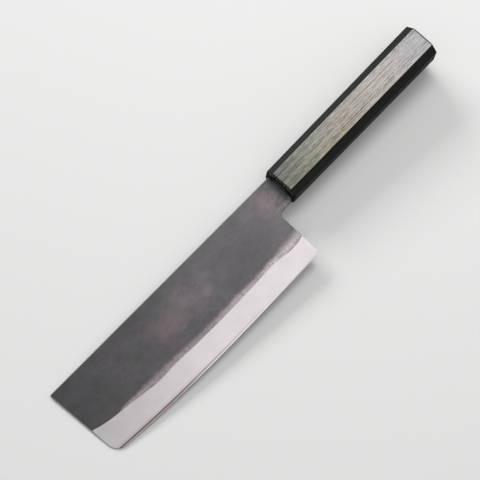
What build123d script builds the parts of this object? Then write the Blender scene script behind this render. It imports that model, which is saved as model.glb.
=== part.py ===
from build123d import *
import os
from itertools import combinations

# Nakiri knife: a square-fronted vegetable knife with a three-layer blade and an octagonal wooden handle.
# It is drawn as seen from its left side, +X from the tip to the butt, +Y from the edge to the spine and
# +Z out of that side, with zero at the centre of the handle's front face. At the end it is laid down on
# its right side, as it comes to rest on a board. All lengths are in millimetres.

# Blade outline
blade_length = 165.0
neck_length = 11.8
heel_depth = 42.3
heel_lean = 1.0
spine_at_handle = 8.8
spine_at_tip = 10.9
front_lean = 2.3
neck_depth = 10.5
neck_slope = 0.5
choil_radius = 2.8
spine_corner_radius = 0.8
tip_corner_radius = 8.2

# The edge falls a little from the heel, then sweeps up late and gently towards the front
edge_fall = 1.05
edge_sweep = 5.1
edge_sweep_power = 3.4
edge_steps = 8

# Forged thickness over both sides, and the core's part of it
root_thickness = 3.3
tip_thickness = 1.6
flank_fall = 0.6
core_share = 0.2

# Ground bevel, with its width by place from the heel to the front
bevel_width = 14.2
bevel_place_shares = (0.0, 0.04, 0.14, 0.23, 0.31, 0.47, 0.75, 0.88, 1.0)
bevel_width_shares = (0.93, 0.875, 0.985, 0.965, 1.0, 0.985, 1.012, 1.14, 1.275)
bevel_end_share = 0.05
edge_thickness = 0.24
hone_width = 0.65
land_thickness = 0.05

# Worn arrises of the blade
spine_easing = 0.25
choil_easing = 0.4

# Shoulders and hidden tang
shoulder_gap = 0.2
shoulder_run = 3.1
shoulder_rise = 1.3
tang_length = 78.0
tang_width = 9.0
tang_end_width = 5.0
tang_end_thickness = 2.0
tang_end_radius = 1.8

# Octagonal handle
handle_length = 125.0
front_height = 22.0
front_thickness = 18.4
front_facet = 4.1
butt_height = 23.6
butt_thickness = 19.7
butt_facet = 4.55
arris_radius = 0.35
front_chamfer = 1.0
butt_radius = 1.5
butt_dome_radius = 100.0

# Tang fixing inside the handle
dowel_wall = 1.5
dowel_end = 3.0
seal_depth = 4.0
slot_room = 0.1
slot_end_room = 1.5
bond_gap = 0.05
drill_point = 3.0

# How far a cutter runs past what it cuts
overrun = 3.0

# Densities in grams per cubic millimetre
iron_density = 0.00785
wood_density = 0.00070
resin_density = 0.00120

heel_x = -neck_length
tip_x = heel_x - blade_length
heel_height = heel_depth + spine_at_handle
dowel_radius = tang_width / 2 + dowel_wall
slot_length = tang_length + slot_end_room
bore_depth = slot_length + dowel_end


def spine_y(x):
    """Height of the spine, a straight line that climbs towards the tip."""
    return spine_at_handle + (spine_at_tip - spine_at_handle) * x / tip_x


def edge_x(place):
    """Length at a place along the edge, which is a share from the heel to the front."""
    edge_heel = heel_x - heel_lean
    edge_front = tip_x + front_lean
    return edge_heel + (edge_front - edge_heel) * place


def edge_y(place):
    """Height of the cutting edge at a place."""
    return edge_sweep * max(place, 0) ** edge_sweep_power - edge_fall * place - heel_depth


def half_thickness(x, y):
    """Half the forged thickness, which falls to the tip, to the tang's end and down from the spine."""
    if x < 0:
        at_spine = root_thickness + (tip_thickness - root_thickness) * x / tip_x
    else:
        at_spine = root_thickness + (tang_end_thickness - root_thickness) * x / tang_length
    return (at_spine - flank_fall * (spine_at_handle - y) / heel_height) / 2


def section(x, points):
    """Corners of a section across the knife at x, from points of y and z."""
    return [Vector(x, y, z) for y, z in points]


def flat_sided(sections):
    """Solid with flat faces between sections that have as many corners each."""
    outlines = [sections[0], sections[-1]]
    for near, far in zip(sections, sections[1:]):
        for before in range(-1, len(near) - 1):
            outlines.append([near[before], near[before + 1], far[before + 1], far[before]])
    return Solid(Shell([Face(Wire.make_polygon(outline)) for outline in outlines]))


def forged_plate(layer_share=1.0, room=0.0):
    """Plate with the forged taper, or the middle layer that takes a share of its thickness."""
    top = spine_at_tip + overrun
    bottom = -heel_depth - edge_fall - overrun
    sections = []
    for x in (tip_x - overrun, 0, slot_length):
        high = half_thickness(x, top) * layer_share + room
        low = half_thickness(x, bottom) * layer_share + room
        sections.append(section(x, [(top, high), (bottom, low), (bottom, -low), (top, -high)]))
    return flat_sided(sections)


def plate_cut(outline):
    """Everything within an outline, through the whole thickness."""
    return extrude(Plane.XY.offset(-root_thickness) * outline, 2 * root_thickness)


def tang_outline(end_x, room=0.0):
    """Tang from inside the neck to end_x, narrowing to a rounded end, grown by room on each side."""
    start_x = -neck_length / 2
    half_start = tang_width / 2 + room
    half_end = tang_end_width / 2 + room
    corners = [(start_x, half_start), (start_x, -half_start), (end_x, -half_end), (end_x, half_end)]
    outline = make_face(Polyline(*corners, close=True))
    return fillet(outline.vertices().sort_by(Axis.X)[-2:], tang_end_radius)


def blade_outline():
    """Side view of the blade and its neck, up to the shoulders."""
    shoulder_x = -shoulder_gap
    spine_corner = (tip_x, spine_at_tip)
    spine_end = (shoulder_x, spine_y(shoulder_x))
    shoulder_end = (shoulder_x, shoulder_rise - neck_depth)
    neck_bend = (shoulder_x - shoulder_run, -neck_depth)
    choil_corner = (heel_x, -neck_depth - neck_slope)
    places = [step / edge_steps for step in range(edge_steps + 1)]
    edge_line = [(edge_x(place), edge_y(place)) for place in places]
    outline = make_face(
        [
            Line(spine_corner, spine_end),
            Line(spine_end, shoulder_end),
            TangentArc(neck_bend, shoulder_end, tangent=(1, 0)),
            Line(neck_bend, choil_corner),
            Line(choil_corner, edge_line[0]),
            Spline(*edge_line),
            Line(edge_line[-1], spine_corner),
        ]
    )
    for corner, radius in (
        (choil_corner, choil_radius),
        (spine_corner, spine_corner_radius),
        (edge_line[-1], tip_corner_radius),
    ):
        outline = fillet(outline.vertices().sort_by_distance(corner)[0], radius)
    return outline


def on_spine_or_front(edge):
    """True for an arris of the spine, or of the front and its corners."""
    middle = edge.center()
    front_end = tip_x + front_lean + tip_corner_radius
    return middle.Y > spine_y(middle.X) - spine_corner_radius or middle.X < front_end


def on_choil(edge):
    """True for an arris of the heel, the choil or the neck."""
    middle = edge.center()
    return middle.X > heel_x - heel_lean and middle.Y < shoulder_rise - neck_depth


def ground_off(side, low_point, high_point):
    """Stock outside a bevel on one side, whose section is straight from its low to its high point."""
    widths = [bevel_width * share for share in bevel_width_shares]
    stations = [
        (-bevel_end_share, widths[0]),
        *zip(bevel_place_shares, widths),
        (1 + bevel_end_share, widths[-1]),
    ]
    sections = []
    for place, width in stations:
        low_y, low_z = low_point(place, width)
        high_y, high_z = high_point(place, width)
        rise = (high_z - low_z) / (high_y - low_y) * overrun
        line = [(low_y - overrun, low_z - rise), (high_y + overrun, high_z + rise)]
        back = [(high_y + overrun, root_thickness), (low_y - overrun, root_thickness)]
        sections.append(section(edge_x(place), [(y, side * z) for y, z in line + back]))
    return Solid.make_loft([Wire.make_polygon(corners) for corners in sections])


def bevel_low(place, width):
    """Foot of the main bevel, above the cutting edge."""
    return edge_y(place), edge_thickness / 2


def bevel_high(place, width):
    """Ridge between the main bevel and the forged flank."""
    y = edge_y(place) + width
    return y, half_thickness(edge_x(place), y)


def hone_low(place, width):
    """The honed cutting edge itself."""
    return edge_y(place), land_thickness / 2


def hone_high(place, width):
    """Upper line of the honed edge, on the main bevel."""
    low_y, low_z = bevel_low(place, width)
    high_y, high_z = bevel_high(place, width)
    return low_y + hone_width, low_z + (high_z - low_z) * hone_width / (high_y - low_y)


def finished_blade():
    """Forged, eased and ground blade with its tang, before it is split into layers."""
    outline = blade_outline() + tang_outline(tang_length)
    blade = plate_cut(outline) & forged_plate()
    for belongs, easing in ((on_spine_or_front, spine_easing), (on_choil, choil_easing)):
        arrises = [edge for edge in blade.edges() if abs(edge.center().Z) > spine_easing and belongs(edge)]
        blade = fillet(arrises, easing)
    for side in (1, -1):
        blade -= ground_off(side, bevel_low, bevel_high)
        blade -= ground_off(side, hone_low, hone_high)
    return blade


def octagon(x, height, thickness, facet):
    """Octagonal section of the handle, its corners cut at 45 degrees."""
    y = height / 2
    z = thickness / 2
    upper = [(-y, z - facet), (facet - y, z), (y - facet, z), (y, z - facet)]
    lower = [(-corner_y, -corner_z) for corner_y, corner_z in upper]
    return section(x, upper + lower)


def round_rod(length, radius, point=0.0, start=0.0):
    """Rod on the handle's axis, or a drill with its point."""
    profile = Polyline((start, 0), (start, radius), (length, radius), (length + point, 0), close=True)
    return revolve(make_face(profile), Axis.X)


def handle():
    """Octagonal handle, swelling to a slightly domed butt, with eased arrises and the bore for the tang."""
    body = flat_sided(
        [
            octagon(0, front_height, front_thickness, front_facet),
            octagon(handle_length, butt_height, butt_thickness, butt_facet),
        ]
    )
    body = chamfer(body.faces().sort_by(Axis.X)[0].edges(), front_chamfer)
    arrises = [edge for edge in body.edges() if edge.length > handle_length / 2]
    body = fillet(arrises, arris_radius)
    body = fillet(body.faces().sort_by(Axis.X)[-1].edges(), butt_radius)
    body &= Pos(handle_length - butt_dome_radius, 0, 0) * Sphere(butt_dome_radius)
    return body - round_rod(bore_depth, dowel_radius + bond_gap, drill_point, -overrun)


def resting_plane(contacts, mass_centre):
    """Plane through three contacts that has the others above it and the mass centre over it."""
    for first, second, third in combinations(contacts, 3):
        up = (second - first).cross(third - first).normalized()
        up = up if up.Z > 0 else -up
        if any((contact - first).dot(up) < -bond_gap for contact in contacts):
            continue
        turns = [
            (end - start).cross(mass_centre - start).dot(up)
            for start, end in ((first, second), (second, third), (third, first))
        ]
        if min(turns) > 0 or max(turns) < 0:
            along = Vector(1, 0, 0) - up * up.X
            return Plane(origin=first, x_dir=along, z_dir=up)
    raise ValueError("the knife has no resting plane")


def contact_points():
    """Low points of the right side: the blade's front line and edge, and the handle's bottom face."""
    points = []
    for place in (0, 1):
        x = edge_x(place)
        foot = edge_y(place) + bevel_width * bevel_width_shares[-place]
        points.append(Vector(x, foot, -half_thickness(x, foot)))
        points.append(Vector(x, edge_y(place), -land_thickness / 2))
    top_y = spine_at_tip - spine_easing
    points.append(Vector(tip_x + spine_easing, top_y, -half_thickness(tip_x, top_y)))
    for side in (1, -1):
        front_y = side * (front_height / 2 - front_facet)
        butt_y = side * (butt_height / 2 - butt_facet)
        points.append(Vector(front_chamfer, front_y, -front_thickness / 2))
        points.append(Vector(handle_length - butt_radius, butt_y, -butt_thickness / 2))
    return points


blade = finished_blade()
core_plate = forged_plate(core_share)
claddings = (blade - core_plate).solids().sort_by(Axis.Z)
tang_slot = plate_cut(tang_outline(slot_length, slot_room)) & forged_plate(room=slot_room)
parts = {
    "core_steel": (blade & core_plate, iron_density),
    "cladding_left": (claddings[-1], iron_density),
    "cladding_right": (claddings[0], iron_density),
    "handle_body": (handle(), wood_density),
    "tang_dowel": (round_rod(bore_depth, dowel_radius, start=seal_depth) - tang_slot, wood_density),
    "tang_seal": (round_rod(seal_depth, dowel_radius) - tang_slot, resin_density),
}

# Lay the knife down on its right side, with zero below its middle
masses = [shape.volume * density for shape, density in parts.values()]
centres = [shape.center(CenterOf.MASS) for shape, density in parts.values()]
mass_centre = sum((centre * mass for centre, mass in zip(centres, masses)), Vector()) / sum(masses)
board = resting_plane(contact_points(), mass_centre)
laid = {name: shape.solid().moved(board.location.inverse()) for name, (shape, density) in parts.items()}
box = Compound(list(laid.values())).bounding_box(optimal=True)
foot = Location((-box.center().X, -box.center().Y, -box.min.Z))

os.makedirs("parts", exist_ok=True)
for name, shape in laid.items():
    export_step(shape.moved(foot), f"parts/{name}.step")
    print(name, round(shape.volume), "mm3")
print("length, width and height", box.size, "mass in grams", round(sum(masses), 1))
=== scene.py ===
from math import radians

import bpy
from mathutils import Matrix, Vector

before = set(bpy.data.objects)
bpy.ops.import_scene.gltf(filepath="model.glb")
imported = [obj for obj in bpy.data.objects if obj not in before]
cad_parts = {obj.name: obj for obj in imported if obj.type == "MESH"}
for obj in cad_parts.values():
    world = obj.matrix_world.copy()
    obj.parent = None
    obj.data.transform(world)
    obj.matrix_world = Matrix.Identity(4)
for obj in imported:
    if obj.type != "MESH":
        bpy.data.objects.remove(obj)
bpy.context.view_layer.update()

# The knife's own axes: x from the tip to the butt, y from the edge to the spine, z out of the upper side.
# The knife's materials read their place along them, in mm from the middle of the handle's front face.
knife = {
    "origin": (0.025809, 0.015347, 0.009227),  # metres
    "tilt": (0.499, -2.754, 0.0),  # degrees
    "millimetre": 0.001,
    "heelX": -12.8,
    "frontX": -174.5,
    "handleLength": 125.0,
    "buttRadius": 1.5,
}


def fill(tree, node, inputs):
    # each socket gets a plain value, or a link from another node's output
    for name, value in inputs.items():
        if isinstance(value, bpy.types.NodeSocket):
            tree.links.new(value, node.inputs[name])
        else:
            node.inputs[name].default_value = value


def put(tree, kind, inputs=None, **settings):
    # one node, its settings and what goes into its sockets
    node = tree.nodes.new("ShaderNode" + kind)
    for name, value in settings.items():
        setattr(node, name, value)
    fill(tree, node, inputs or {})
    return node


def calc(tree, operation, first, second=0.0):
    return put(tree, "Math", {0: first, 1: second}, operation=operation).outputs[0]


def times(tree, first, *others):
    for other in others:
        first = calc(tree, "MULTIPLY", first, other)
    return first


def distance(tree, first, second):
    return put(tree, "VectorMath", {0: first, 1: second}, operation="DISTANCE").outputs["Value"]


def slope(tree, value, start, end, low=0.0, high=1.0, kind="LINEAR"):
    # low at start and past it, high at end and past it, straight between; start may be the larger
    inputs = {"Value": value, "From Min": start, "From Max": end, "To Min": low, "To Max": high}
    return put(tree, "MapRange", inputs, interpolation_type=kind, clamp=True).outputs[0]


def fade(tree, value, *span):
    # the same with soft ends
    return slope(tree, value, *span, kind="SMOOTHSTEP")


def noise(tree, place, stretch, detail, rough, twist=0.0):
    # stretch is how many grains there are per mm along x, y and z
    spread = put(tree, "VectorMath", {0: place, 1: stretch}, operation="MULTIPLY").outputs[0]
    inputs = {"Vector": spread, "Scale": 1.0, "Detail": detail, "Roughness": rough, "Distortion": twist}
    return put(tree, "TexNoise", inputs).outputs[0]


def tint(colour):
    # a plain colour gets its alpha, another node's output stays as it is
    return colour if isinstance(colour, bpy.types.NodeSocket) else (*colour, 1.0)


def tones(tree, value, stops, kind="B_SPLINE"):
    # colour ramp from (position, colour) stops
    ramp = put(tree, "ValToRGB", {"Fac": value})
    ramp.color_ramp.interpolation = kind
    elements = ramp.color_ramp.elements
    while len(elements) < len(stops):
        elements.new(0.5)  # moved to its own place below
    for element, (position, colour) in zip(elements, stops):
        element.position = position
        element.color = tint(colour)
    return ramp.outputs["Color"]


def darkToLight(tree, value, positions, dark, light):
    return tones(tree, value, tuple(zip(positions, (dark, light))))


def mix(tree, share, first, second, blend="MIX"):
    inputs = {0: share, 6: tint(first), 7: tint(second)}
    return put(tree, "Mix", inputs, data_type="RGBA", blend_type=blend).outputs[2]


def shaded(tree, colour, shade):
    return mix(tree, 1.0, colour, shade, "MULTIPLY")


def grey(tree, level):
    return put(tree, "CombineColor", {0: level, 1: level, 2: level}).outputs[0]


def between(tree, share, first, second):
    # plain number between first and second
    return put(tree, "Mix", {0: share, 2: first, 3: second}, data_type="FLOAT").outputs[0]


def curve(tree, value, points):
    # smooth line through points that lie between 0 and 1
    node = put(tree, "FloatCurve", {"Value": value})
    line = node.mapping.curves[0]
    while len(line.points) < len(points):
        line.points.new(0.5, 0.5)  # moved to its own place below
    for point, (x, y) in zip(line.points, points):
        point.location = (x, y)
    node.mapping.update()
    return node.outputs[0]


def levelAlong(tree, along, points, top=1.0):
    # a number that follows (share of the way, level) points, none of them above top
    level = curve(tree, along, [(spot, value / top) for spot, value in points])
    return times(tree, level, top)


def bump(tree, height, depth, under=None):
    # depth is in mm
    inputs = {"Height": height, "Distance": depth * knife["millimetre"], "Strength": 1.0}
    if under:
        inputs["Normal"] = under
    return put(tree, "Bump", inputs).outputs[0]


def newMaterial(name):
    material = bpy.data.materials.new(name)
    material.use_nodes = True
    tree = material.node_tree
    return material, tree, tree.nodes["Principled BSDF"]


def knifePlaceGroup():
    # place on the knife in mm, and the way the surface faces, both in the knife's own axes
    group = bpy.data.node_groups.new("knifePlace", "ShaderNodeTree")
    for name in ("Place", "Facing"):
        group.interface.new_socket(name, in_out="OUTPUT", socket_type="NodeSocketVector")
    ends = group.nodes.new("NodeGroupOutput")
    turn = tuple(radians(angle) for angle in knife["tilt"])
    scale = (knife["millimetre"],) * 3
    where = put(group, "TexCoord").outputs["Object"]
    facing = put(group, "NewGeometry").outputs["True Normal"]
    inputs = {"Vector": where, "Location": knife["origin"], "Rotation": turn, "Scale": scale}
    place = put(group, "Mapping", inputs, vector_type="TEXTURE")
    turned = put(group, "Mapping", {"Vector": facing, "Rotation": turn}, vector_type="TEXTURE")
    fill(group, ends, {"Place": place.outputs[0], "Facing": turned.outputs[0]})
    return group


knifePlace = knifePlaceGroup()


def readPlace(tree):
    node = tree.nodes.new("ShaderNodeGroup")
    node.node_tree = knifePlace
    place = put(tree, "SeparateXYZ", {0: node.outputs["Place"]})
    facing = put(tree, "SeparateXYZ", {0: node.outputs["Facing"]})
    return node.outputs["Place"], place.outputs, facing.outputs


def onArris(tree, facing, leavesSide, nearsFace):
    # 1 where the surface leans, between the upright sides and the broad faces
    upward = calc(tree, "ABSOLUTE", facing["Z"])
    return times(tree, fade(tree, upward, *leavesSide), fade(tree, upward, *nearsFace))


print("materials: forged scale, ground bevel and honed edge")
# How values are given below. A noise: grains per mm along x, y and z, then detail, roughness and twist.
# A range: where it starts and ends, in mm or as a level, then what it gives there if that isn't 0 and 1.
# Levels along the blade or the handle: (share of the way, level). Spots: (x, y, radius) in mm, as depths are.

# Cutting edge, and the wavy line (x, y) where the bevel's bright finish ends
grind = {
    "heelDepth": 42.3,
    "fall": 1.05,
    "sweep": 5.1,
    "sweepPower": 3.4,
    "brightLine": ((-12.8, -28.8), (-18.0, -29.8), (-22.0, -30.0), (-30.0, -29.0), (-39.0, -28.3),
                   (-50.0, -28.6), (-72.0, -28.7), (-100.0, -28.1), (-119.0, -27.2), (-126.0, -27.5),
                   (-140.0, -26.1), (-152.0, -24.2), (-161.0, -23.1), (-174.5, -19.8)),
    "curveLow": -31.0,  # the line's curve holds y from here up
    "curveSpan": 12.0,
    "lineSoftness": 0.14,
    "sideFacing": (0.80, 0.955),
    "edgeFlatFacing": (-0.5, -0.8),
    "honeFacing": (-0.10, -0.12),
    "honeAboveEdge": (1.4, 1.0),
}


def alongBlade(x):
    # 0 at the heel, 1 at the front
    return (x - knife["heelX"]) / (knife["frontX"] - knife["heelX"])


def bladeMarks(tree, place, facing):
    # share of the way to the front, mm above the cutting edge and above the bright line, and what a face is
    along = slope(tree, place["X"], knife["heelX"], knife["frontX"])
    rise = times(tree, calc(tree, "POWER", along, grind["sweepPower"]), grind["sweep"])
    fall = times(tree, along, -grind["fall"])
    edge = calc(tree, "SUBTRACT", calc(tree, "ADD", rise, fall), grind["heelDepth"])
    points = [(alongBlade(x), y - grind["curveLow"]) for x, y in grind["brightLine"]]
    brightLine = calc(tree, "ADD", levelAlong(tree, along, points, grind["curveSpan"]), grind["curveLow"])
    aboveEdge = calc(tree, "SUBTRACT", place["Y"], edge)
    aboveLine = calc(tree, "SUBTRACT", place["Y"], brightLine)
    isSide = fade(tree, calc(tree, "ABSOLUTE", facing["Z"]), *grind["sideFacing"])
    isEdgeFlat = fade(tree, facing["Y"], *grind["edgeFlatFacing"])
    isBelow = fade(tree, aboveLine, grind["lineSoftness"], -grind["lineSoftness"])
    isBevel = times(tree, isBelow, calc(tree, "MAXIMUM", isSide, isEdgeFlat))
    isHone = slope(tree, facing["Y"], *grind["honeFacing"])
    isHone = times(tree, isHone, fade(tree, aboveEdge, *grind["honeAboveEdge"]))
    return {"along": along, "aboveEdge": aboveEdge, "aboveLine": aboveLine,
            "isSide": isSide, "isBevel": isBevel, "isHone": isHone}


forgeScale = {
    "dark": (0.0465, 0.0430, 0.0485),
    "grey": (0.077, 0.0705, 0.0785),
    "clouds": ((0.030, 0.045, 0.03), 3.0, 0.55, 0.6),
    "cloudPositions": (0.30, 0.62),
    "temper": (0.124, 0.095, 0.105),
    "temperShare": 0.7,
    "temperSpots": ((-106.0, -9.0, 10.0), (-98.0, -9.0, 11.0), (-88.0, -5.0, 9.0), (-82.0, -10.0, 7.0),
                    (-73.0, -11.0, 6.0), (-11.0, 2.0, 10.0)),
    "shadow": (0.050, 0.050, 0.049),
    "shadowShare": 0.7,
    "shadowSpots": ((-156.0, -11.0, 15.0), (-128.0, -9.0, 10.0), (-97.0, 6.0, 11.0), (-34.0, -3.0, 8.0),
                    (-17.0, 1.0, 6.0)),
    "pale": (0.110, 0.103, 0.108),
    "paleShare": 0.5,
    "paleSpots": ((-27.0, 4.0, 5.5), (-69.0, -6.0, 7.5), (-98.0, -8.0, 10.0)),
    "spotBorder": ((0.07, 0.10, 0.1), 3.0, 0.6),
    "spotRagged": 2.0,  # in radii, as the next two are
    "spotOuter": 2.2,
    "spotInner": 0.9,
    "mottle": ((0.16, 0.22, 0.2), 4.0, 0.62, 0.4),
    "mottleShade": (0.25, 0.75, 0.84, 1.16),
    "brushed": ((0.35, 0.9, 0.9), 3.0, 0.7),
    "brushedShade": (0.25, 0.75, 0.84, 1.16),
    "grit": ((2.2, 2.2, 2.2), 3.0, 0.6),
    "gritShade": (0.3, 0.7, 0.93, 1.07),
    # painted light: the scale is lighter towards the heel and darker towards the front, as the light fell
    # along the blade
    "paintedLightAlong": ((0.0, 1.90), (0.05, 1.70), (0.11, 1.53), (0.29, 1.50), (0.42, 1.32), (0.54, 1.25),
                   (0.63, 1.0), (0.73, 0.97), (0.85, 0.84), (0.94, 0.75), (1.0, 0.60)),
    "paintedLightTop": 2.0,
    "neckX": (-15.0, -6.0),
    # painted shade on the neck beside the handle, in streaks
    "neckPaintedShade": (0.35, 0.65, 0.56, 0.86),
    "spineShade": (-1.0, 7.0, 1.0, 0.88),
    "roughness": (0.3, 0.7, 0.40, 0.52),
    "pitDepth": 0.012,
}


def spots(tree, where, places):
    # 1 inside soft ragged patches, 0 outside them
    ragged = noise(tree, where, *forgeScale["spotBorder"])
    mask = 0.0
    for x, y, radius in places:
        unevenness = times(tree, ragged, forgeScale["spotRagged"] * radius)
        reach = calc(tree, "ADD", distance(tree, where, (x, y, 0.0)), unevenness)
        spot = fade(tree, reach, forgeScale["spotOuter"] * radius, forgeScale["spotInner"] * radius)
        mask = calc(tree, "MAXIMUM", mask, spot)
    return mask


def scaleLook(tree, where, place, along):
    # oxide left by the forge: soft clouds, stains and brushing, darker towards the spine, and grit for pits;
    # with painted light along the blade and painted shade at the neck
    clouds = noise(tree, where, *forgeScale["clouds"])
    mottle = noise(tree, where, *forgeScale["mottle"])
    grit = noise(tree, where, *forgeScale["grit"])
    brushed = noise(tree, where, *forgeScale["brushed"])
    colour = darkToLight(tree, clouds, forgeScale["cloudPositions"], forgeScale["dark"], forgeScale["grey"])
    for name in ("shadow", "pale", "temper"):
        share = times(tree, spots(tree, where, forgeScale[name + "Spots"]), forgeScale[name + "Share"])
        colour = mix(tree, share, colour, forgeScale[name])
    # painted light along the blade, lighter at the heel
    level = levelAlong(tree, along, forgeScale["paintedLightAlong"], forgeScale["paintedLightTop"])
    mottled = slope(tree, mottle, *forgeScale["mottleShade"])
    streaked = slope(tree, brushed, *forgeScale["brushedShade"])
    speckled = slope(tree, grit, *forgeScale["gritShade"])
    # painted shade: the neck darkens in streaks next to the handle's front face
    onNeck = fade(tree, place["X"], *forgeScale["neckX"])
    handleShadeOnNeck = between(tree, onNeck, 1.0, fade(tree, brushed, *forgeScale["neckPaintedShade"]))
    spine = fade(tree, place["Y"], *forgeScale["spineShade"])
    shade = times(tree, level, mottled, streaked, speckled, handleShadeOnNeck, spine)
    roughness = slope(tree, mottle, *forgeScale["roughness"])
    return shaded(tree, colour, grey(tree, shade)), roughness, grit


bevelFinish = {
    "steel": (0.692, 0.649, 0.664),
    "coreSteel": (0.683, 0.641, 0.656),
    # painted reflection: the bevel is brightest at the middle of the blade
    "paintedLightAlong": ((0.0, 1.0), (0.15, 1.01), (0.35, 1.02), (0.50, 1.06), (0.66, 1.04), (0.80, 1.0),
                   (1.0, 0.98)),
    "paintedLightTop": 2.0,
    "scratches": ((7.0, 0.35, 0.35), 2.0, 0.6),
    "scratchShade": (0.3, 0.7, -0.035, 0.035),
    "scratchDepth": 0.004,
    "softClouds": ((0.10, 0.14, 0.1), 3.0, 0.5),
    "cloudShade": (0.3, 0.7, 0.95, 1.03),
    "blush": (0.500, 0.415, 0.410),
    "blushAboveEdge": (3.4, 1.4),
    "blushStrength": ((0.0, 0.0), (0.25, 0.04), (0.45, 0.14), (0.60, 0.30), (0.80, 0.55), (1.0, 0.6)),
    "roughness": 0.34,
    "gloss": 0.5,
}


def steelLook(tree, where, marks, steel):
    # stone finish: fine scratches square to the edge, over soft clouds, with a blush near the edge; a painted
    # reflection makes it brightest at the middle of the blade
    scratches = noise(tree, where, *bevelFinish["scratches"])
    softClouds = noise(tree, where, *bevelFinish["softClouds"])
    shade = calc(tree, "ADD", slope(tree, scratches, *bevelFinish["scratchShade"]),
                 slope(tree, softClouds, *bevelFinish["cloudShade"]))
    level = levelAlong(tree, marks["along"], bevelFinish["paintedLightAlong"], bevelFinish["paintedLightTop"])
    blush = times(tree, fade(tree, marks["aboveEdge"], *bevelFinish["blushAboveEdge"]),
                  levelAlong(tree, marks["along"], bevelFinish["blushStrength"]))
    blushed = mix(tree, blush, steel, bevelFinish["blush"])
    return shaded(tree, blushed, grey(tree, times(tree, shade, level))), scratches


hazeBand = {
    "steel": (0.515, 0.452, 0.474),
    "widths": ((0.0, 5.7), (0.06, 5.9), (0.11, 4.2), (0.18, 3.0), (0.29, 3.6), (0.48, 3.3), (0.66, 3.7),
               (0.71, 4.6), (0.76, 4.0), (0.80, 2.7), (0.85, 2.2), (0.88, 1.1), (0.92, 0.3), (1.0, 0.1)),
    "widthTop": 8.0,
    "widthLeast": 0.05,
    "strength": ((0.0, 0.78), (0.04, 0.82), (0.10, 0.94), (0.20, 0.78), (0.34, 0.86), (0.43, 0.56),
                 (0.75, 0.62), (1.0, 0.4)),
    "streaks": ((2.4, 0.30, 0.30), 4.0, 0.7),
    "streakBorder": (0.3, 0.7, -0.3, 0.3),
    "drift": ((0.22, 0.22, 0.22), 3.0, 0.6),
    "driftBorder": (0.3, 0.7, -0.4, 0.4),
    "acrossBand": (1.25, 0.35),
    "whereWide": (0.3, 1.6),
    "flecks": ((1.1, 0.6, 0.6), 3.0, 0.7),
    "fleckShare": (0.32, 0.62, 0.45, 1.0),
    "slow": ((0.06, 0.06, 0.06), 2.0, 0.5),
    "slowShare": (0.35, 0.65, 0.85, 1.15),
    "heelX": (-32.0, -22.0),
    "heelAboveLine": (0.3, 1.4, 0.6, 1.0),
}


def hazeShare(tree, where, place, marks):
    # hazy band above the bright line, streaked, ragged on top, weaker next to the line at the heel
    width = levelAlong(tree, marks["along"], hazeBand["widths"], hazeBand["widthTop"])
    streaks = noise(tree, where, *hazeBand["streaks"])
    drift = noise(tree, where, *hazeBand["drift"])
    border = calc(tree, "ADD", width, slope(tree, drift, *hazeBand["driftBorder"]))
    border = calc(tree, "ADD", border, slope(tree, streaks, *hazeBand["streakBorder"]))
    across = calc(tree, "DIVIDE", marks["aboveLine"], calc(tree, "MAXIMUM", border, hazeBand["widthLeast"]))
    inBand = fade(tree, across, *hazeBand["acrossBand"])
    isWide = fade(tree, width, *hazeBand["whereWide"])
    flecked = slope(tree, noise(tree, where, *hazeBand["flecks"]), *hazeBand["fleckShare"])
    uneven = fade(tree, noise(tree, where, *hazeBand["slow"]), *hazeBand["slowShare"])
    strength = levelAlong(tree, marks["along"], hazeBand["strength"])
    nearHeel = fade(tree, place["X"], *hazeBand["heelX"])
    besideLine = between(tree, nearHeel, 1.0, fade(tree, marks["aboveLine"], *hazeBand["heelAboveLine"]))
    return times(tree, inBand, isWide, flecked, uneven, strength, besideLine, marks["isSide"])


wornRims = {
    "leavesSide": (0.25, 0.5),
    "nearsFace": (0.99, 0.93),
    "notchX": (-15.5, -13.6),
    "notchY": (-8.5, -10.0),
    "heelY": (-12.5, -14.5),
    "outerShare": 0.6,
    "notchShare": 0.10,
    "heelShare": 0.7,
    "neckTop": (-7.2, -8.8),
    "neckBottom": (-11.0, -10.0),
    "neckX": (-15.0, -9.0),
    "neckMetal": (0.27, 0.215, 0.205),
    "flecks": ((1.8, 1.8, 1.8), 3.0, 0.7),
    "fleckShare": (0.47, 0.60),
}


def rimShare(tree, place, facing):
    # worn bright arrises: along the spine and the front, faint in the neck's notch, strong at the heel
    isNotch = times(tree, fade(tree, place["X"], *wornRims["notchX"]),
                    fade(tree, place["Y"], *wornRims["notchY"]))
    isHeel = times(tree, isNotch, fade(tree, place["Y"], *wornRims["heelY"]))
    inNotch = between(tree, isHeel, wornRims["notchShare"], wornRims["heelShare"])
    share = between(tree, isNotch, wornRims["outerShare"], inNotch)
    return times(tree, onArris(tree, facing, wornRims["leavesSide"], wornRims["nearsFace"]), share)


def neckFlecks(tree, where, place):
    # bare pinkish flecks along the neck's lower rim
    flecks = fade(tree, noise(tree, where, *wornRims["flecks"]), *wornRims["fleckShare"])
    return times(tree, fade(tree, place["Y"], *wornRims["neckTop"]),
                 fade(tree, place["Y"], *wornRims["neckBottom"]),
                 fade(tree, place["X"], *wornRims["neckX"]), flecks)


edgeFinish = {
    "seam": (0.105, 0.056, 0.052),
    "seamLower": (0.55, 0.80),  # mm above the cutting edge
    "seamUpper": (1.75, 1.10),
    "seamStrength": ((0.0, 0.0), (0.20, 0.03), (0.32, 0.14), (0.45, 0.36), (0.60, 0.62), (0.72, 0.92),
                     (1.0, 0.95)),
    "honed": (0.62, 0.60, 0.60),
    "honeBrightness": ((0.0, 1.0), (0.45, 1.0), (0.58, 0.85), (0.70, 0.52), (0.85, 0.45), (1.0, 0.55)),
    "honeRoughness": 0.30,
}


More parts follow.
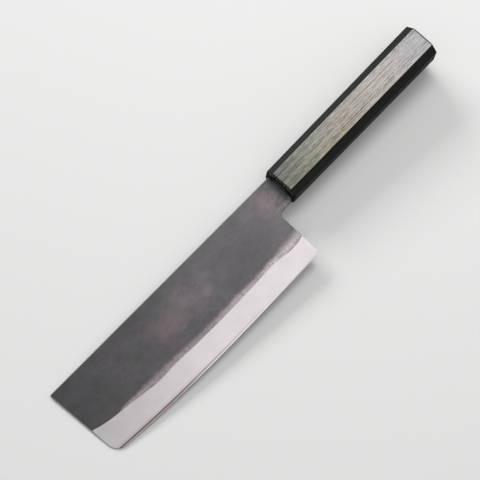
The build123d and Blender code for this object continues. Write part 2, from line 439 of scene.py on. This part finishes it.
def bladeMaterial(name, steelColour):
    material, tree, shader = newMaterial(name)
    where, place, facing = readPlace(tree)
    marks = bladeMarks(tree, place, facing)
    along, aboveEdge, isBevel, isHone = (marks[mark] for mark in ("along", "aboveEdge", "isBevel", "isHone"))
    scaleColour, scaleRough, grit = scaleLook(tree, where, place, along)
    steel, scratches = steelLook(tree, where, marks, steelColour)
    bare = calc(tree, "MAXIMUM", hazeShare(tree, where, place, marks), rimShare(tree, place, facing))
    colour = mix(tree, neckFlecks(tree, where, place), scaleColour, wornRims["neckMetal"])
    colour = mix(tree, bare, colour, hazeBand["steel"])
    colour = mix(tree, isBevel, colour, steel)

    # weld seam between the cladding and the core, then the honed edge
    seam = times(tree, fade(tree, aboveEdge, *edgeFinish["seamLower"]),
                 fade(tree, aboveEdge, *edgeFinish["seamUpper"]),
                 levelAlong(tree, along, edgeFinish["seamStrength"]))
    colour = mix(tree, seam, colour, edgeFinish["seam"])
    honeLevel = levelAlong(tree, along, edgeFinish["honeBrightness"])
    colour = mix(tree, isHone, colour, shaded(tree, edgeFinish["honed"], grey(tree, honeLevel)))

    metal = calc(tree, "MAXIMUM", bare, isBevel)
    rough = between(tree, metal, scaleRough, bevelFinish["roughness"])
    rough = between(tree, isHone, rough, edgeFinish["honeRoughness"])
    pits = times(tree, grit, calc(tree, "SUBTRACT", 1.0, metal))
    pitted = bump(tree, pits, forgeScale["pitDepth"])
    scratched = bump(tree, times(tree, scratches, metal), bevelFinish["scratchDepth"], pitted)
    fill(tree, shader, {"Base Color": colour, "Metallic": metal, "Roughness": rough, "Normal": scratched,
                        "Specular IOR Level": bevelFinish["gloss"]})
    return material


print("materials: handle wood, dowel and seal")
handleWood = {
    "facetDark": (0.0015, 0.002, 0.0015),
    "facetLight": (0.018, 0.0195, 0.0145),
    "facetPositions": (0.42, 0.58),
    "facetRoughness": 0.70,
    # the broad faces' colours are a painted sheen: pale where the faces mirrored the light, paler towards the
    # butt
    "faceDark": (0.27, 0.262, 0.262),
    "faceLight": (0.735, 0.712, 0.712),
    "facePositions": (0.43, 0.555),
    "faceRoughness": (0.35, 0.65, 0.46, 0.34),
    "faceFacing": (0.86, 0.97),
    "faceEndSoftness": 0.3,
    "calmTone": (0.52, 0.504, 0.504),
    "calmShare": 0.20,
    "sheenAlongHandle": ((0.04, (0.38, 0.385, 0.350)), (0.24, (0.61, 0.625, 0.540)), (0.48, (0.78, 0.745, 0.680)),
               (0.72, (0.88, 0.845, 0.80)), (0.93, (0.875, 0.87, 0.893))),
    "beige": (1.0, 0.97, 0.88),
    "beigeX": (74.0, 52.0),
    "beigeY": (3.0, -5.0),
    "endDark": (0.003, 0.0035, 0.003),
    "endLight": (0.014, 0.015, 0.012),
    "endPositions": (0.25, 0.75),
    "endFacing": (0.55, 0.85),
    "endRings": 0.45,
    "endGrain": 0.55,
    "frontX": (1.6, 1.2),
    # painted shade on the handle's front face, as a share of its colour
    "frontPaintedShade": 0.3,
    "frontRoughness": 0.95,
    "sway": ((0.012, 0.05, 0.05), 2.0, 0.5),
    "swayShift": 0.1,
    "pith": (0.0, -31.0, -17.0),
    "ringGap": 1.7,
    "ringTone": (0.0, 1.0, -0.02, 0.02),
    "figure": ((0.010, 0.25, 0.25), 3.0, 0.6),
    "grain": ((0.012, 1.9, 0.9), 1.0, 0.6),
    "fibre": ((0.12, 2.8, 1.6), 2.0, 0.65),
    "hairs": ((0.35, 6.0, 6.0), 2.0, 0.6),
    "streakShares": {"figure": 0.03, "grain": 0.24, "fibre": 0.42, "hairs": 0.31},
    "hairHeight": 0.35,
    "poreRows": ((0.003, 2.6, 0.6), 0.0, 0.5),
    "poreBreaks": ((0.30, 2.6, 0.6), 1.0, 0.5),
    "poreAcross": (0.50, 0.58),
    "poreAlong": (0.38, 0.54),
    "poreColour": (0.020, 0.020, 0.016),
    "poreStrength": ((0.0, 0.70), (0.30, 0.68), (0.55, 0.56), (0.80, 0.46), (1.0, 0.40)),
    "poreDepth": 0.03,
    "poreRoughness": 0.22,
    "knocks": (0.20, 0.21, 0.15),
    "knockNoise": ((1.6, 1.6, 1.6), 3.0, 0.7),
    "knockShare": (0.54, 0.64),
    "knockX": (1.4, 1.0),
    "leavesSide": (0.35, 0.5),
    "nearsFace": (0.97, 0.93),
    "gloss": 0.17,
}


def swayedPlace(tree, where):
    # the grain wanders a little on its way to the butt
    sideways = times(tree, noise(tree, where, *handleWood["sway"]), handleWood["swayShift"])
    shift = put(tree, "CombineXYZ", {1: sideways, 2: sideways}).outputs[0]
    return put(tree, "VectorMath", {0: where, 1: shift}, operation="ADD").outputs[0]


def growthRings(tree, swayed):
    # rings round the heart of the tree, which lies outside the handle
    flat = put(tree, "VectorMath", {0: swayed, 1: (0.0, 1.0, 1.0)}, operation="MULTIPLY").outputs[0]
    turns = calc(tree, "DIVIDE", distance(tree, flat, handleWood["pith"]), handleWood["ringGap"])
    return calc(tree, "PINGPONG", turns, 1.0)


def sheenPaintedFace(tree, place, streak, toButt):
    # the two broad faces, painted pale with the sheen they catch: paler and calmer towards the butt, beige
    # near the front on the edge's side
    face = darkToLight(tree, streak, handleWood["facePositions"], handleWood["faceDark"],
                       handleWood["faceLight"])
    face = mix(tree, times(tree, toButt, handleWood["calmShare"]), face, handleWood["calmTone"])
    face = shaded(tree, face, tones(tree, toButt, handleWood["sheenAlongHandle"], "LINEAR"))
    isBeige = times(tree, fade(tree, place["Y"], *handleWood["beigeY"]),
                    fade(tree, place["X"], *handleWood["beigeX"]))
    return mix(tree, isBeige, face, shaded(tree, face, handleWood["beige"]))


def handleMaterial():
    # open-grained wood, stained green-black, its two broad faces painted pale with a painted sheen
    material, tree, shader = newMaterial("stainedHandleWood")
    where, place, facing = readPlace(tree)
    swayed = swayedPlace(tree, where)
    rings = growthRings(tree, swayed)
    layers = {name: noise(tree, swayed, *handleWood[name]) for name in handleWood["streakShares"]}
    streak = 0.0
    for name, share in handleWood["streakShares"].items():
        streak = calc(tree, "ADD", streak, times(tree, layers[name], share))
    streak = calc(tree, "ADD", streak, fade(tree, rings, *handleWood["ringTone"]))
    isPore = times(tree, fade(tree, noise(tree, swayed, *handleWood["poreRows"]), *handleWood["poreAcross"]),
                   fade(tree, noise(tree, swayed, *handleWood["poreBreaks"]), *handleWood["poreAlong"]))

    faceX = knife["handleLength"] - knife["buttRadius"]
    isFace = times(tree, fade(tree, calc(tree, "ABSOLUTE", facing["Z"]), *handleWood["faceFacing"]),
                   fade(tree, place["X"], faceX + handleWood["faceEndSoftness"], faceX))
    isEnd = fade(tree, calc(tree, "ABSOLUTE", facing["X"]), *handleWood["endFacing"])
    isFront = fade(tree, place["X"], *handleWood["frontX"])
    toButt = slope(tree, place["X"], 0.0, knife["handleLength"])

    facet = darkToLight(tree, streak, handleWood["facetPositions"], handleWood["facetDark"],
                        handleWood["facetLight"])
    endTone = calc(tree, "ADD", times(tree, rings, handleWood["endRings"]),
                   times(tree, layers["grain"], handleWood["endGrain"]))
    end = darkToLight(tree, endTone, handleWood["endPositions"], handleWood["endDark"],
                      handleWood["endLight"])
    colour = mix(tree, isFace, facet, sheenPaintedFace(tree, place, streak, toButt))
    colour = mix(tree, isEnd, colour, end)
    # painted shade: the handle's front face is darkened where it stands in shade
    colour = shaded(tree, colour, between(tree, isFront, 1.0, handleWood["frontPaintedShade"]))
    poreShare = times(tree, isPore, levelAlong(tree, toButt, handleWood["poreStrength"]))
    colour = mix(tree, poreShare, colour, handleWood["poreColour"])

    # pale flecks where the arrises of the front are knocked
    isKnocked = times(tree, onArris(tree, facing, handleWood["leavesSide"], handleWood["nearsFace"]),
                      fade(tree, place["X"], *handleWood["knockX"]),
                      fade(tree, noise(tree, where, *handleWood["knockNoise"]), *handleWood["knockShare"]))
    colour = mix(tree, isKnocked, colour, handleWood["knocks"])

    faceRough = slope(tree, layers["grain"], *handleWood["faceRoughness"])
    rough = between(tree, isFace, handleWood["facetRoughness"], faceRough)
    rough = between(tree, isFront, rough, handleWood["frontRoughness"])
    rough = calc(tree, "ADD", times(tree, isPore, handleWood["poreRoughness"]), rough)
    height = calc(tree, "SUBTRACT", times(tree, layers["hairs"], handleWood["hairHeight"]), isPore)
    fill(tree, shader, {"Base Color": colour, "Roughness": rough,
                        "Normal": bump(tree, height, handleWood["poreDepth"]),
                        "Specular IOR Level": handleWood["gloss"]})
    return material


dowelWood = {
    "dark": (0.55, 0.43, 0.29),
    "light": (0.68, 0.57, 0.42),
    "positions": (0.35, 0.65),
    "noise": ((0.02, 0.9, 0.9), 3.0, 0.6),
    "depth": 0.02,
    "roughness": 0.7,
}
sealResin = {
    "dark": (0.030, 0.030, 0.028),
    "light": (0.045, 0.044, 0.041),
    "positions": (0.35, 0.7),
    "noise": ((1.4, 1.4, 1.4), 3.0, 0.6),
    "depth": 0.015,
    "roughness": 0.55,
}


def plainMaterial(name, finish):
    # one grain, which gives both the tone and the relief
    material, tree, shader = newMaterial(name)
    grain = noise(tree, readPlace(tree)[0], *finish["noise"])
    colour = darkToLight(tree, grain, finish["positions"], finish["dark"], finish["light"])
    fill(tree, shader, {"Base Color": colour, "Roughness": finish["roughness"],
                        "Normal": bump(tree, grain, finish["depth"])})
    return material


cladding = bladeMaterial("forgedCladding", bevelFinish["steel"])
finishes = {
    "core_steel": bladeMaterial("coreSteel", bevelFinish["coreSteel"]),
    "cladding_left": cladding,
    "cladding_right": cladding,
    "handle_body": handleMaterial(),
    "tang_dowel": plainMaterial("bareDowelWood", dowelWood),
    "tang_seal": plainMaterial("castResinSeal", sealResin),
}
for node, material in finishes.items():
    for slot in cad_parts[node].material_slots:
        slot.material = material

print("floor, light and camera")
studio = {
    "floorSize": 8.0,
    "floorColour": (0.76, 0.76, 0.755),
    "floorRoughness": 0.9,
    "floorGloss": 0.2,
    "worldColour": (1.0, 1.0, 1.0),
    "worldStrength": 0.405,
    "keyPlace": (0.44, 0.24, 0.78),
    "keyAim": (0.03, 0.0, 0.0),
    "keySize": (0.45, 0.36),
    "keyPower": 3.0,
    "fillPlace": (0.0, -0.24, 0.80),
    "fillAim": (-0.05, 0.0, 0.0),
    "fillSize": (0.45, 0.32),
    "fillPower": 0.6,
    "backPlace": (0.50, 3.15, 1.39),
    "backAim": (-0.02, 0.0, 0.0),
    "backSize": (2.30, 1.00),
    "backPower": 94.0,
}


def makeFloor():
    half = studio["floorSize"] / 2
    mesh = bpy.data.meshes.new("floor")
    corners = [(x * half, y * half, 0.0) for x, y in ((-1, -1), (1, -1), (1, 1), (-1, 1))]
    mesh.from_pydata(corners, [], [(0, 1, 2, 3)])
    floor = bpy.data.objects.new("floor", mesh)
    bpy.context.scene.collection.objects.link(floor)
    material, tree, shader = newMaterial("paleFloor")
    fill(tree, shader, {"Base Color": tint(studio["floorColour"]), "Roughness": studio["floorRoughness"],
                        "Specular IOR Level": studio["floorGloss"]})
    mesh.materials.append(material)


def makeWorld():
    world = bpy.data.worlds.new("studio")
    world.use_nodes = True
    tree = world.node_tree
    fill(tree, tree.nodes["Background"], {"Color": tint(studio["worldColour"]),
                                          "Strength": studio["worldStrength"]})
    bpy.context.scene.world = world


def makeLight(name, place, aim, size, power):
    light = bpy.data.lights.new(name, "AREA")
    light.shape = "RECTANGLE"
    light.size, light.size_y = size
    light.energy = power
    lamp = bpy.data.objects.new(name, light)
    bpy.context.scene.collection.objects.link(lamp)
    lamp.location = place
    towards = [end - start for start, end in zip(place, aim)]
    lamp.rotation_mode = "QUATERNION"
    lamp.rotation_quaternion = Vector(towards).to_track_quat("-Z", "Y")


view = {
    "place": (-0.35082, -0.17261, 1.07447),
    "turn": (19.227, -4.932, -47.699),  # degrees
    "lens": 150.0,
    "sensor": 36.0,
}


def makeCamera():
    data = bpy.data.cameras.new("photoView")
    data.lens = view["lens"]
    data.sensor_width = view["sensor"]
    camera = bpy.data.objects.new("photoView", data)
    camera.location = view["place"]
    camera.rotation_euler = [radians(angle) for angle in view["turn"]]
    bpy.context.scene.collection.objects.link(camera)
    bpy.context.scene.camera = camera


makeFloor()
makeWorld()
for lamp in ("key", "fill", "back"):
    makeLight(lamp + "Box", *(studio[lamp + part] for part in ("Place", "Aim", "Size", "Power")))
makeCamera()
bpy.context.scene.view_settings.view_transform = "Standard"
